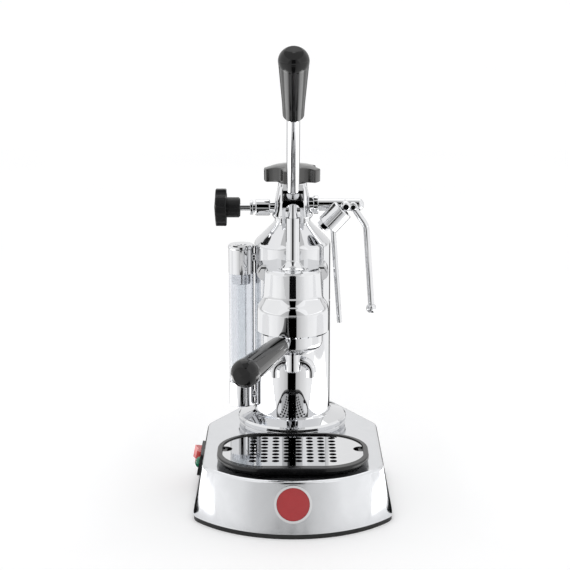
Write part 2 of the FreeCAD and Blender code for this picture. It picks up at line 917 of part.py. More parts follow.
node(
    turned("spindle", [(0, 16.2), (spindle_radius, 16.2), (spindle_radius, 71.2), (0, 71.2)], at=at_valve, along=LEFT),
    "steam_spindle",
)
node(turned("valve_plug", [(0, 12.9), (3.4, 12.9), (4.4, 13.9), (4.4, 16.2), (0, 16.2)], at=at_valve, along=LEFT), "valve_disc")
knob = lobed_knob(
    "knob_blank",
    [
        (spindle_radius, 52.2),
        (8.6, 52.2),
        (10.1, 53.6),
        (10.1, 65.8),
        (valve_knob, 65.8),
        (valve_knob, 76.6),
        (0, 78.2),
        (0, 71.2),
        (spindle_radius, 71.2),
    ],
    6,
    30,
    7,
    valve_knob + 3.6,
    65.8,
    81.2,
    1.2,
)
place(knob, at_valve, Rot(UP, LEFT))
node(knob, "steam_knob")

# --------------------------------------------------- manifold, wand, frother

wand_x, wand_y = 60.0, boiler_y - 9.8
froth_x, froth_y, froth_z = 52.2, boiler_y - 25, manifold_z + 2.8
manifold_raw = turned(
    "manifold_raw",
    [
        (3.4, 12),
        (manifold_radius, 12),
        (manifold_radius, manifold_end),
        (0, manifold_end),
        (0, manifold_end - 6),
        (3.4, manifold_end - 6),
    ],
    at=(0, boiler_y, manifold_z),
    along=RIGHT,
    rounds=[((manifold_radius, manifold_end), 5)],
)
node(
    cut(
        "manifold_cut",
        manifold_raw,
        [
            cyl("spigot_hole_w", 2.2, 8, (wand_x, boiler_y, manifold_z - 0.5), FRONT),
            cyl("spigot_hole_f", 2.6, 8, (froth_x, boiler_y, froth_z), FRONT),
        ],
    ),
    "steam_manifold",
)
node(
    turned(
        "manifold_collar",
        [
            (manifold_radius, 20.65),
            (8.6, 20.65),
            (9.2, 21.25),
            (9.2, 25.05),
            (8.6, 25.65),
            (manifold_radius, 25.65),
        ],
        at=(0, boiler_y, manifold_z),
        along=RIGHT,
    ),
    "manifold_nut",
)
node(
    group_of(
        "spigots",
        [
            turned(
                "spigot_w",
                [(0, 3.6), (2.2, 3.6), (2.2, 13.4), (3.0, 13.4), (3.0, 14.2), (2.4, 14.8), (0, 14.8)],
                at=(wand_x, boiler_y, manifold_z - 0.5),
                along=FRONT,
            ),
            turned(
                "spigot_f",
                [(0, 3.6), (2.6, 3.6), (2.6, 30.2), (3.6, 30.2), (3.6, 31.2), (2.8, 32), (0, 32)],
                at=(froth_x, boiler_y, froth_z),
                along=FRONT,
            ),
        ],
    ),
    "swivel_spigots",
)
wand_z = manifold_z - 0.5
wand_hub = turned(
    "wand_hub",
    [(2.2 + 0.06, 6.6), (3.4, 6.6), (4.6, 8.2), (4.6, 11.6), (3.4, 13.0), (2.2 + 0.06, 13.0)],
    at=(wand_x, boiler_y, wand_z),
    along=FRONT,
    rounds=[((4.6, 8.2), 1.2), ((4.6, 11.6), 1.2)],
)
wand_line = [(62.2, wand_z.v - 3.2), (73.2, 260.8), (79.1, 180.6)]
wand_tube = bent("wand_tube", wand_radius, wand_line, 16, (0, wand_y, 0))
wand_core = bent("wand_core", 1.7, [(63.6, wand_z.v - 5.3), (73.2, 260.8), (79.3, 177.6)], 16, (0, wand_y, 0))
hub_bore = cyl("hub_bore", 2.2 + 0.06, 30, (wand_x, boiler_y, wand_z), FRONT)
node(cut("wand_cut", fuse("wand_raw", [wand_hub, wand_tube]), [wand_core, hub_bore]), "steam_wand")
tip_raw = ball("tip_ball", wand_tip, (79.2, wand_y, 176.6))
tip_top = cyl("tip_flat", 8, 8, (79.2, wand_y, 180.55))
tip_holes = [cyl("tip_hole_%d" % i, 0.8, 8, (79.2, wand_y, 176.6), V(math.cos(a), math.sin(a), -1.0)) for i, a in enumerate((0.8, 2.37, 3.94, 5.51))]
node(
    cut("tip_cut", tip_raw, [bent("tip_trim", wand_radius + 0.02, wand_line, 16, (0, wand_y, 0)), tip_top] + tip_holes),
    "steam_tip",
)

fa = V(0.682, 0, 0.731)
fa.normalize()
pivot = V(froth_x, froth_y.v, froth_z.v)
end_top = pivot - fa * 4.2
end_low = end_top - fa * frother_length.v
can = turned(
    "froth_can",
    [(0, 0), (frother_radius, 0), (frother_radius, frother_length), (0, frother_length)],
    at=tuple(end_low),
    along=fa,
    rounds=[((frother_radius, 0), 1.4), ((frother_radius, frother_length), 1.4)],
)
can_ball = ball("froth_ball", 5, tuple(pivot))
pipe_low = V(46.9, froth_y.v, 165.6)
pipe_top = V(39.7, froth_y.v, 262)
pipe_dir = pipe_top - pipe_low
pipe_len = pipe_dir.Length
pipe_dir.normalize()
pipe_hole = cyl("pipe_hole", frother_pipe, pipe_len, tuple(pipe_low), pipe_dir)
can_bore = cyl("can_bore", 2.6 + 0.06, 40, (froth_x, boiler_y, froth_z), FRONT)
can_cup = turned("can_cup", [(0, 2.5), (7.5, 2.5), (7.5, 17), (0, 17)], at=tuple(end_low), along=fa)
node(cut("froth_cut", fuse("froth_raw", [can, can_ball]), [pipe_hole, can_bore, can_cup]), "frother_body")
node(
    fuse(
        "froth_nut_all",
        [
            hexagon("froth_nut", 6.4, 4.4, tuple(end_low - fa * 4.4 + V(-0.731, 0, 0.682) * 2.5), fa),
            cyl("froth_nut_end", 4.2, 6.2, tuple(end_low - fa * 6.2 + V(-0.731, 0, 0.682) * 2.5), fa),
        ],
    ),
    "frother_nut",
)
node(
    cut(
        "froth_pipe_cut",
        cyl("froth_pipe", frother_pipe, pipe_len, tuple(pipe_low), pipe_dir),
        [cyl("froth_pipe_bore", frother_pipe - 0.9, pipe_len + 4, tuple(pipe_low - pipe_dir * 2), pipe_dir)],
    ),
    "frother_tube",
)

# ------------------------------------------------------------------- gauge

at_gauge = (gauge_x, boiler_y, 0)
top_round = turned(
    "gauge_top_round",
    [
        (0, 215),
        (glass_radius, 215),
        (glass_radius, 200),
        (9.4, 200),
        (9.4, 211),
        (gauge_radius, 211),
        (gauge_radius, 236.0),
        (gauge_radius + 0.5, 236.8),
        (gauge_radius + 0.5, 239.0),
        (gauge_radius - 0.8, 240.3),
        (6.2, 240.3),
        (5.8, 241),
        (0, 241),
    ],
    at=at_gauge,
    rounds=[((9.4, 200), 1.2)],
)
node(fuse("gauge_top_all", [top_round, cyl("gauge_arm_top", 5, 6.0, (gauge_x + 10, boiler_y, 227), RIGHT)]), "gauge_top")
low_round = turned(
    "gauge_low_round",
    [
        (0, 90),
        (0, 73),
        (gauge_radius - 1.2, 73),
        (gauge_radius, 74.2),
        (gauge_radius, 97.5),
        (9.4, 97.5),
        (9.4, 104),
        (glass_radius, 104),
        (glass_radius, 90),
    ],
    at=at_gauge,
    rounds=[((9.4, 104), 1.2)],
)
node(fuse("gauge_low_all", [low_round, cyl("gauge_arm_low", 5, 6.0, (gauge_x + 10, boiler_y, 85), RIGHT)]), "gauge_bottom")
node(
    turned("glass", [(glass_radius - 1.2, 90), (glass_radius, 90), (glass_radius, 215), (glass_radius - 1.2, 215)], at=at_gauge),
    "gauge_glass",
)
node(
    turned(
        "shield",
        [(gauge_radius - 1.6, 97.5), (gauge_radius - 0.2, 97.5), (gauge_radius - 0.2, 211), (gauge_radius - 1.6, 211)],
        at=at_gauge,
    ),
    "gauge_shield",
)

# ------------------------------------------------------------------- group

at_group = (0, group_y, 0)
bell = turned(
    "bell",
    [
        (0, bell_low),
        (bell_radius - 1.4, bell_low),
        (bell_radius, bell_low + 1.6),
        (bell_radius, 195.9),
        (bell_waist, 204.1),
        (bell_top_radius, bell_top - 1.8),
        (bell_top_radius - 1.8, bell_top),
        (tower_half, bell_top),
        (tower_half, 262),
        (0, 262),
    ],
    at=at_group,
    rounds=[
        ((bell_radius, 195.9), 14.6),
        ((bell_waist, 204.1), 14.6),
        ((bell_top_radius, bell_top - 1.8), 1.4),
        ((tower_half, bell_top), 9),
    ],
)
reach = fulcrum_y - group_y
ear = padded(
    "ear",
    "XY_Plane",
    [(-tower_half, 0), (tower_half, 0), (tower_half, reach), (-tower_half, reach)],
    249,
    tower_top,
    at=at_group,
)
ear_front = cyl("ear_front", tower_half, tower_top - 249, (0, group_y, 249))
ear_back = cyl("ear_back", tower_half, tower_top - 249, (0, fulcrum_y, 249))
gusset = padded(
    "gusset",
    "YZ_Plane",
    [(group_y, 236), (group_y + 9, 236), (fulcrum_y + 5, 250), (group_y, 250)],
    -tower_half * 0.7,
    tower_half * 0.7,
)
neck = cyl("group_neck", 15, 16, (0, -17, 213), V(0, 1, 0))
plate_pts = [(-35, 213), (35, 213), (35, 229), (-35, 229)]
flange_g = padded("group_flange", "XZ_Plane", plate_pts, 0, 7)
soften(flange_g, flange_g.Tip, lambda e: abs(e.Length - 7) < 1e-3, 7.9)
place(flange_g, (0, 4, 0))
flange_disc = cyl("flange_disc", 16, 7, (0, 4, 210), V(0, -1, 0))
bores = turned(
    "group_bores",
    [
        (0, bell_low - 2),
        (29.2, bell_low - 2),
        (29.2, 173),
        (31.6, 173),
        (31.6, 181),
        (sleeve_outer, 181),
        (sleeve_outer, 224),
        (8, 224),
        (8, 230),
        (rod_radius + run_gap, 230),
        (rod_radius + run_gap, tower_top + 3),
        (0, tower_top + 3),
    ],
    at=at_group,
)
entry = []
for i, a in enumerate((holder_turn.v - 50,)):
    b = box("lug_entry_%d" % i, (62.6, 22, 4.4), (0, 0, 0))
    rr = Rot(UP, a)
    entry.append(seated(b, rr, (0, group_y, 0), (-31.3, -11, bell_low - 1.9)))
pin_way = box("pin_way", (30, (rod_pin + 0.35) * 2, 40), (-15, group_y - rod_pin - 0.35, 258))
fulcrum_bore = cyl("fulcrum_bore", fulcrum_pin_r + run_gap, 30, (-15, fulcrum_y, fulcrum_z), RIGHT)
water_way = cyl("water_way", 3, 30, (0, 6, 204), FRONT)
bolt_ways = [cyl("bolt_way_%d" % i, 2.5, 40, (x, 26, 221), FRONT) for i, x in enumerate((-28, 28))]
node(
    cut(
        "group_cut",
        fuse("group_raw", [bell, ear, ear_front, ear_back, gusset, neck, flange_g, flange_disc]),
        [bores, pin_way, fulcrum_bore, water_way] + entry + bolt_ways,
    ),
    "group_body",
)
saddle_raw = padded("saddle_raw", "XZ_Plane", plate_pts, 0, 20)
soften(saddle_raw, saddle_raw.Tip, lambda e: abs(e.Length - 20) < 1e-3, 7.9)
place(saddle_raw, (0, 24, 0))
node(
    cut(
        "saddle_cut",
        fuse("saddle_whole", [saddle_raw, cyl("saddle_disc", 16, 20, (0, 24, 210), V(0, -1, 0))]),
        [cyl("saddle_round", boiler_radius, 90, (0, boiler_y, 170)), cyl("saddle_way", 4, 40, (0, 30, 204), FRONT)]
        + [cyl("saddle_bolt_%d" % i, 2.5, 40, (x, 26, 221), FRONT) for i, x in enumerate((-28, 28))],
    ),
    "group_saddle",
)
bolts = []
for i, x in enumerate((-28, 28)):
    bolts.append(
        fuse(
            "group_bolt_%d" % i,
            [
                hexagon("bolt_head_%d" % i, 5.4, 4, (x, -3, 221), FRONT),
                cyl("bolt_shank_%d" % i, 2.5, 17, (x, 14, 221), FRONT),
            ],
        )
    )
node(group_of("bolts", bolts), "group_bolts")

node(
    cut(
        "sleeve_cut",
        turned(
            "sleeve",
            [(sleeve_bore, 182.4), (sleeve_outer, 182.4), (sleeve_outer, 224), (sleeve_bore, 224)],
            at=at_group,
        ),
        [cyl("sleeve_way", 3, 30, (0, 6, 204), FRONT)],
    ),
    "cylinder_sleeve",
)
pist = sleeve_bore - 0.05
node(
    turned(
        "piston_round",
        [
            (0, 209),
            (pist - 1, 209),
            (pist, 210),
            (pist, 211.5),
            (20.5, 211.5),
            (20.5, 214),
            (pist, 214),
            (pist, 217),
            (20.5, 217),
            (20.5, 219.5),
            (pist, 219.5),
            (pist, 221.5),
            (pist - 1, 222.5),
            (rod_radius, 222.5),
            (rod_radius, 213),
            (0, 213),
        ],
        at=at_group,
    ),
    "piston",
)
node(
    group_of(
        "seals",
        [
            turned("seal_%d" % i, [(20.5, z), (pist, z), (pist, z + 2.5), (20.5, z + 2.5)], at=at_group)
            for i, z in enumerate((211.5, 217.0))
        ],
    ),
    "piston_seals",
)
rod_top = rod_pin_z + 6
node(
    cut(
        "rod_cut",
        turned(
            "rod",
            [(0, 213), (rod_radius, 213), (rod_radius, rod_top - 1), (rod_radius - 1, rod_top), (0, rod_top)],
            at=at_group,
        ),
        [cyl("rod_cross", rod_pin, 30, (-15, group_y, rod_pin_z), RIGHT)],
    ),
    "piston_rod",
)
node(
    turned(
        "cross",
        [(0, -10.2), (rod_pin - 0.6, -10.2), (rod_pin, -9.6), (rod_pin, 9.6), (rod_pin - 0.6, 10.2), (0, 10.2)],
        at=(0, group_y, rod_pin_z),
        along=RIGHT,
    ),
    "cross_pin",
)
node(
    turned(
        "gland",
        [(rod_radius + run_gap, 224), (8, 224), (8, 230), (rod_radius + run_gap, 230)],
        at=at_group,
    ),
    "rod_packing",
)
screen = turned("screen", [(0, 181.05), (sleeve_outer, 181.05), (sleeve_outer, 182.35), (0, 182.35)], at=at_group)
screen_sk = new_sketch(screen, "screen_hole", "XY_Plane", 183)
hole_in(screen_sk, 14, 0, 1.6)
screen_pk = screen.newObject("PartDesign::Pocket", "screen_pocket")
screen_pk.Profile = screen_sk
screen_pk.Length = 4
screen.Tip = screen_pk
doc.recompute()
screen_pol = screen.newObject("PartDesign::PolarPattern", "screen_round")
screen_pol.Originals = [screen_pk]
screen_pol.Axis = (screen_sk, ["N_Axis"])
screen_pol.Angle = 360
screen_pol.Occurrences = 10
screen.Tip = screen_pol
node(screen, "shower_screen")
node(
    turned("holder_ring", [(25.4, 179.3), (31.6, 179.3), (31.6, 181), (25.4, 181)], at=at_group),
    "portafilter_seal",
)

# ----------------------------------------------------------- filter holder

TURN = Rot(UP, holder_turn.v)
cup = turned(
    "holder_cup",
    [
        (5, holder_low),
        (17, holder_low),
        (holder_radius, holder_low + 7),
        (holder_radius, holder_top),
        (26.3, holder_top),
        (26.3, 158.5),
        (19, 155),
        (5, 155),
    ],
    at=at_group,
    rounds=[((17, holder_low), 5), ((holder_radius, holder_low + 7), 8)],
)
lug_ring = turned(
    "lug_ring",
    [(26.5, 173.4), (31.2, 173.4), (31.2, 177.2), (26.5, 177.2)],
    at=at_group,
)
lug_bar = box("lug_bar", (80, 19, 12), (0, 0, 0))
seated(lug_bar, TURN, (0, group_y, 0), (-40, -9.5, 170))
lugs = common("lugs", lug_ring, lug_bar)
out = TURN.multVec(V(0, -1, 0))
at_handle = (0, group_y, holder_axis_z)
stem = turned(
    "holder_stem",
    [(0, 27), (4.7, 27), (4.7, 36.8), (8.2, 36.8), (8.2, 43.5), (5.6, 43.5), (5.6, 78), (0, 78)],
    at=at_handle,
    along=out,
)
node(fuse("holder_all", [cup, lugs, stem]), "portafilter_body")
node(
    turned(
        "holder_grip",
        [
            (5.6, 43.5),
            (8.9, 43.5),
            (9.6, 44.6),
            (10.2, 58),
            (12.85, 136),
            (8.0, 149.6),
            (0, 150.6),
            (0, 78),
            (5.6, 78),
        ],
        at=at_handle,
        along=out,
        arcs={4: through((12.85, 136), (11.7, 145.2), (8.0, 149.6))},
    ),
    "portafilter_handle",
)
node(
    turned(
        "basket",
        [
        (0, 159.2),
        (25.9, 159.2),
        (25.9, holder_top),
        (28.3, holder_top),
        (28.3, holder_top + 0.8),
        (25.2, holder_top + 0.8),
        (25.2, 160),
        (0, 160),
    ],
        at=at_group,
    ),
    "filter_basket",
)
block = turned(
    "spout_block",
    [(0, spout_low), (7, spout_low), (8.2, spout_low + 1.4), (8.2, holder_low - 0.02), (5, holder_low - 0.02), (5, 154.6), (0, 154.6)],
    at=at_group,
)
arms, arm_ways = [], []
for i, s in enumerate((-1, 1)):
    line = [(0, 140.4), (spout_reach * s, 140.4), (spout_reach * s, spout_tip)]
    arms.append(bent("spout_arm_%d" % i, 5, line, 11, at_group))
    way = [(0, 140.4), (spout_reach * s, 140.4), (spout_reach * s, spout_tip - 2)]
    arm_ways.append(bent("spout_way_%d" % i, 3.4, way, 11, at_group))
throat = cyl("spout_throat", 3.2, 20, (0, group_y, 140.4))
node(cut("spout_cut", fuse("spout_raw", [block] + arms), arm_ways + [throat]), "spout")

# ------------------------------------------------------------------- lever

LEVER = Rot(V(1, 0, 0), lever_lean.v)
at_lever = (0, fulcrum_y, fulcrum_z)
front_pts = [
    (-fork_outer, -8),
    (-fork_inner, -8),
    (-fork_inner, 30),
    (fork_inner, 30),
    (fork_inner, -8),
    (fork_outer, -8),
    (fork_outer, 36),
    (9.4, 41.5),
    (9.4, 47),
    (-9.4, 47),
    (-9.4, 41.5),
    (-fork_outer, 36),
]
fork_front = padded(
    "fork_front", "XZ_Plane", front_pts, -12, 16, at=at_lever, rot=LEVER
)
side_pts = [
    (-7.2, -2.2),
    (-5.2, -7.4),
    (5.2, -7.4),
    (7.2, -2.2),
    (7.2, 43.5),
    (5.2, 46.9),
    (-2.0, 46.9),
    (-2.0, 42.4),
    (-9.0, 40),
    (-11.4, 33),
    (-11.4, 10),
]
fork_side = padded("fork_side", "YZ_Plane", side_pts, -14, 14, at=at_lever, rot=LEVER)
fork_raw = common("fork_raw", fork_front, fork_side)


def on_lever(obj, local, rot=None):
    s = LEVER.multVec(V(*[lift(c).v for c in local]))
    return place(obj, (s.x, fulcrum_y + s.y, fulcrum_z + s.z), LEVER.multiply(rot) if rot else LEVER)


slot_dir = V(0, -math.sin(math.radians(12)), math.cos(math.radians(12)))
slot_tools = []
for i, rr in enumerate((18.0, 24.2)):
    c = cyl("fork_slot_%d" % i, rod_pin + 1.4, 40, (0, 0, 0))
    slot_tools.append(on_lever(c, (-20, slot_dir.y * rr, slot_dir.z * rr), Rot(UP, RIGHT)))
mid = box("fork_slot_mid", (40, (rod_pin + 1.4) * 2, 6.2), (0, 0, 0))
tilt = Rot(V(1, 0, 0), 12)
off = tilt.multVec(V(0, -(rod_pin.v + 1.4), 18.0))
slot_tools.append(on_lever(mid, (-20, off.y, off.z), tilt))
fork_pin_hole = on_lever(cyl("fork_pin_hole", fulcrum_pin_r, 40, (0, 0, 0)), (-20, 0, 0), Rot(UP, RIGHT))
slot_tools.append(on_lever(cyl("fork_arch", fork_inner, 40, (0, 0, 0)), (0, 20, 30), Rot(UP, FRONT)))
rod_nose = through(
    (0, 44), (lever_radius * 0.70711, 44 + lever_radius * 0.29289), (lever_radius, 44 + lever_radius)
)
socket = turned(
    "fork_socket", [(0, 44), (lever_radius, 44 + lever_radius), (lever_radius, 70), (0, 70)], arcs={0: rod_nose}
)
on_lever(socket, (0, -2, 0))
stud = on_lever(cyl("fork_stud", 3.5, 24, (0, 0, 0)), (0, -2, 39))
stud_hole = on_lever(cyl("stud_hole", 3.5, 24, (0, 0, 0)), (0, -2, 39))
node(fuse("fork_all", [cut("fork_cut", fork_raw, slot_tools + [fork_pin_hole, socket]), stud]), "lever_fork")
rod_l = turned(
    "lever_bar",
    [(0, 44), (lever_radius, 44 + lever_radius), (lever_radius, grip_start + 60), (0, grip_start + 60)],
    arcs={0: rod_nose},
)
on_lever(rod_l, (0, -2, 0))
node(cut("rod_bored", rod_l, [stud_hole]), "lever_rod")
grip = turned(
    "lever_grip",
    [
        (lever_radius, grip_start),
        (grip_thin - 0.9, grip_start),
        (grip_thin, grip_start + 1.4),
        (grip_thin + 0.6, grip_start + 16),
        (grip_thick, grip_end - 13),
        (8.4, grip_end - 0.9),
        (0, grip_end),
        (0, grip_start + 60),
        (lever_radius, grip_start + 60),
    ],
    arcs={4: through((grip_thick, grip_end - 13), (grip_thick - 1.2, grip_end - 5.0), (8.4, grip_end - 0.9))},
)
on_lever(grip, (0, -2, 0))
node(grip, "lever_handle")
node(
    turned(
        "fulcrum",
        [
            (0, -12),
            (4, -12),
            (4.6, -11.4),
            (4.6, -10.4),
            (fulcrum_pin_r, -10.4),
            (fulcrum_pin_r, 10.4),
            (4.6, 10.4),
            (4.6, 11.4),
            (4, 12),
            (0, 12),
        ],
        at=at_lever,
        along=RIGHT,
    ),
    "fulcrum_pin",
)

# ------------------------------------------------------------------ writing

doc.recompute()
bad = []
for o in doc.Objects:
    if "Invalid" in o.State or "Error" in o.State:
        bad.append(o.Label)
if bad:
    raise RuntimeError("objects in error: " + ", ".join(bad))
os.makedirs("parts", exist_ok=True)
for old in os.listdir("parts"):
    if old.endswith(".step"):
        os.remove(os.path.join("parts", old))
for name, obj in nodes:
    shape = obj.Shape
    if shape.isNull() or not shape.isValid() or not shape.Solids:
        raise RuntimeError("bad shape: " + name)
    b = shape.BoundBox
    print(
        "%-20s %2d solid(s) %10.1f mm3  x %7.1f %7.1f  y %7.1f %7.1f  z %7.1f %7.1f"
        % (name, len(shape.Solids), shape.Volume, b.XMin, b.XMax, b.YMin, b.YMax, b.ZMin, b.ZMax)
    )
    shape.exportStep(os.path.join("parts", name + ".step"))
print(len(nodes), "nodes")
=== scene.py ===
import math

import bpy
import bmesh
from mathutils import Matrix, Vector

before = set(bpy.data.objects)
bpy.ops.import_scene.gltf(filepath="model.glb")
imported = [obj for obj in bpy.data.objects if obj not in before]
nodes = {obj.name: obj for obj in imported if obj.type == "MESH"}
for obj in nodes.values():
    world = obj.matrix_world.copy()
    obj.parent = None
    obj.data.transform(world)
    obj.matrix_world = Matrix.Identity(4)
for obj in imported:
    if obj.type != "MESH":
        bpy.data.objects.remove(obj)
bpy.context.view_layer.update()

scene = bpy.context.scene
scene.view_settings.view_transform = "Standard"

# ------------------------------------------------------------------ materials


class Finish:
    """A principled material whose detail comes from noise in the piece's own coordinates, in metres."""

    def __init__(self, name, **sockets):
        self.mat = bpy.data.materials.new(name)
        self.mat.use_nodes = True
        self.tree = self.mat.node_tree
        self.tree.nodes.clear()
        self.end = self.new("OutputMaterial")
        self.bsdf = self.new("BsdfPrincipled")
        self.wire(self.bsdf.outputs[0], self.end.inputs["Surface"])
        self.place = self.new("TexCoord").outputs["Object"]
        for key, value in sockets.items():
            self.put(key.replace("_", " "), value)

    def new(self, kind):
        return self.tree.nodes.new("ShaderNode" + kind)

    def wire(self, a, b):
        self.tree.links.new(a, b)

    def socket(self, name):
        for s in self.bsdf.inputs:
            if s.name.lower() == name.lower():
                return s
        raise KeyError(name)

    def put(self, name, value):
        s = self.socket(name)
        if hasattr(value, "is_output"):
            self.wire(value, s)
        elif isinstance(value, tuple) and len(value) == 3:
            s.default_value = (*value, 1.0)
        else:
            s.default_value = value

    def stretched(self, factors):
        node = self.new("Mapping")
        node.inputs["Scale"].default_value = factors
        self.wire(self.place, node.inputs["Vector"])
        return node.outputs[0]

    def noise(self, scale, detail=3.0, rough=0.5, factors=None, warp=0.0):
        node = self.new("TexNoise")
        node.inputs["Scale"].default_value = scale
        node.inputs["Detail"].default_value = detail
        node.inputs["Roughness"].default_value = rough
        node.inputs["Distortion"].default_value = warp
        self.wire(self.stretched(factors) if factors else self.place, node.inputs["Vector"])
        return node.outputs[0]

    def cells(self, scale, feature="F1", factors=None):
        node = self.new("TexVoronoi")
        node.feature = feature
        node.inputs["Scale"].default_value = scale
        self.wire(self.stretched(factors) if factors else self.place, node.inputs["Vector"])
        return node

    def spread(self, value, a, b, low, high):
        node = self.new("MapRange")
        node.inputs["From Min"].default_value = a
        node.inputs["From Max"].default_value = b
        node.inputs["To Min"].default_value = low
        node.inputs["To Max"].default_value = high
        self.wire(value, node.inputs["Value"])
        return node.outputs[0]

    def sum(self, a, b, kind="ADD"):
        node = self.new("Math")
        node.operation = kind
        for s, v in zip(node.inputs, (a, b)):
            if hasattr(v, "is_output"):
                self.wire(v, s)
            else:
                s.default_value = v
        return node.outputs[0]

    def blend(self, part, a, b):
        node = self.new("Mix")
        node.data_type = "RGBA"
        self.wire(part, node.inputs[0])
        for s, v in zip((node.inputs[6], node.inputs[7]), (a, b)):
            if hasattr(v, "is_output"):
                self.wire(v, s)
            else:
                s.default_value = (*v, 1.0)
        return node.outputs[2]

    def bump(self, height, distance, strength=1.0, over=None):
        node = self.new("Bump")
        node.inputs["Strength"].default_value = strength
        node.inputs["Distance"].default_value = distance
        self.wire(height, node.inputs["Height"])
        if over:
            self.wire(over, node.inputs["Normal"])
        return node.outputs[0]


def plated(name, colour, shade, low, high, wave=0.00002, lines=None):
    """Plated metal: a near mirror with handling marks, hairlines and the slight waviness of a polished casting."""
    f = Finish(name, Metallic=1.0)
    smear = f.noise(46, 4, 0.6, warp=0.6)
    fine = f.noise(420, 3, 0.6)
    f.put("Base Color", f.blend(f.spread(smear, 0.35, 0.7, 0, 1), colour, shade))
    marks = f.spread(smear, 0.46, 0.74, low, high)
    hair = f.noise(1500, 2, 0.5, factors=lines or (1.0, 1.0, 0.05))
    f.put("Roughness", f.sum(marks, f.spread(hair, 0.6, 0.8, 0.0, 0.03)))
    rolling = f.bump(f.noise(34, 1, 0.4), wave)
    f.put("Normal", f.bump(fine, 0.0000012, over=rolling))
    return f.mat


def moulded(name, colour, shade, low, high, grain=0.000004, coat=0.0, scale=900, shine=0.5, ior=1.5):
    """Moulded thermoset or plastic: faint flow marks in its colour, uneven gloss and a fine skin."""
    f = Finish(name)
    flow = f.noise(60, 4, 0.6, warp=1.2)
    f.put("Base Color", f.blend(f.spread(flow, 0.35, 0.7, 0, 1), colour, shade))
    dust = f.noise(240, 4, 0.65)
    f.put("Roughness", f.spread(dust, 0.38, 0.72, low, high))
    f.put("Specular IOR Level", shine)
    f.put("IOR", ior)
    if coat:
        f.put("Coat Weight", coat)
        f.put("Coat Roughness", 0.05)
    f.put("Normal", f.bump(f.noise(scale, 2, 0.5), grain))
    return f.mat


def clear(name, tint, ior, low, high):
    """Clear tube: faint drawing streaks along it and a little handling haze."""
    f = Finish(name, Transmission_Weight=1.0, IOR=ior)
    streak = f.noise(700, 3, 0.5, factors=(1.0, 1.0, 0.03))
    haze = f.noise(80, 4, 0.6)
    f.put("Base Color", f.blend(f.spread(streak, 0.3, 0.8, 0, 1), tint, tuple(c * 0.995 for c in tint)))
    f.put("Roughness", f.spread(haze, 0.45, 0.75, low, high))
    return f.mat


chrome = plated("chrome", (0.735, 0.74, 0.75), (0.71, 0.715, 0.73), 0.02, 0.05)
chrome_flat = plated("chrome_sheet", (0.74, 0.745, 0.755), (0.71, 0.715, 0.73), 0.03, 0.07, lines=(0.05, 1.0, 1.0))
chrome_dark = plated("chrome_ring", (0.86, 0.86, 0.87), (0.82, 0.82, 0.83), 0.04, 0.08)
satin = plated("satin_chrome", (0.715, 0.723, 0.742), (0.69, 0.70, 0.718), 0.11, 0.17, wave=0.00001)
stainless = plated("stainless", (0.63, 0.63, 0.635), (0.58, 0.58, 0.585), 0.14, 0.26, lines=(0.04, 1.0, 1.0))
black_gloss = moulded("black_gloss", (0.0045, 0.0045, 0.005), (0.007, 0.0068, 0.0068), 0.06, 0.12, grain=0.0000015, shine=0.4)
brown_gloss = moulded("dark_gloss", (0.008, 0.0075, 0.007), (0.012, 0.011, 0.010), 0.08, 0.14, grain=0.0000015, shine=0.5, ior=1.85)
black_satin = moulded("black_satin", (0.005, 0.005, 0.0055), (0.009, 0.009, 0.0095), 0.3, 0.42, grain=0.000003, scale=1500, shine=0.3)
tray_black = moulded("tray_black", (0.006, 0.006, 0.0065), (0.010, 0.010, 0.0105), 0.13, 0.19, grain=0.0000006, scale=1500, shine=0.4)
trim_grey = moulded("trim_grey", (0.012, 0.012, 0.012), (0.020, 0.020, 0.0195), 0.4, 0.52, grain=0.000002, scale=1500, shine=0.3)
rubber = moulded("rubber", (0.010, 0.010, 0.010), (0.018, 0.018, 0.0175), 0.62, 0.8, grain=0.00001, scale=900)
red_plastic = moulded("red_plastic", (0.66, 0.028, 0.022), (0.58, 0.022, 0.018), 0.22, 0.34, grain=0.0000015, coat=0.25)
red_enamel = moulded("red_enamel", (0.40, 0.018, 0.022), (0.36, 0.015, 0.019), 0.1, 0.18, grain=0.000002, coat=0.6, scale=300)
glass = clear("gauge_glass", (0.95, 0.965, 0.97), 1.47, 0.0, 0.012)
acrylic = clear("clear_shield", (0.845, 0.86, 0.885), 1.49, 0.0, 0.012)


def lens():
    f = Finish("green_lens", IOR=1.5, Transmission_Weight=0.35, Coat_Weight=0.3)
    ribs = f.cells(900)
    f.put("Base Color", f.blend(f.spread(f.noise(300), 0.35, 0.7, 0, 1), (0.012, 0.30, 0.15), (0.01, 0.24, 0.12)))
    f.put("Roughness", f.spread(f.noise(260, 3), 0.4, 0.7, 0.14, 0.26))
    f.put("Normal", f.bump(ribs.outputs["Distance"], 0.00006))
    return f.mat


def spangled():
    f = Finish("zinc_plate", Metallic=1.0)
    crystals = f.cells(120)
    f.put("Base Color", f.blend(f.spread(crystals.outputs["Distance"], 0, 0.8, 0, 1), (0.5, 0.51, 0.52), (0.6, 0.61, 0.62)))
    f.put("Roughness", f.spread(f.noise(160, 4), 0.35, 0.7, 0.36, 0.5))
    f.put("Normal", f.bump(f.noise(700, 3), 0.00001))
    return f.mat


def machined_brass():
    f = Finish("brass", Metallic=1.0)
    turn = f.noise(900, 2, 0.5, factors=(1.0, 1.0, 6.0))
    tarnish = f.noise(90, 4, 0.6)
    f.put("Base Color", f.blend(f.spread(tarnish, 0.35, 0.7, 0, 1), (0.72, 0.53, 0.25), (0.6, 0.42, 0.19)))
    f.put("Roughness", f.spread(tarnish, 0.35, 0.75, 0.2, 0.36))
    f.put("Normal", f.bump(turn, 0.000006))
    return f.mat


green_lens = lens()
zinc = spangled()
brass = machined_brass()

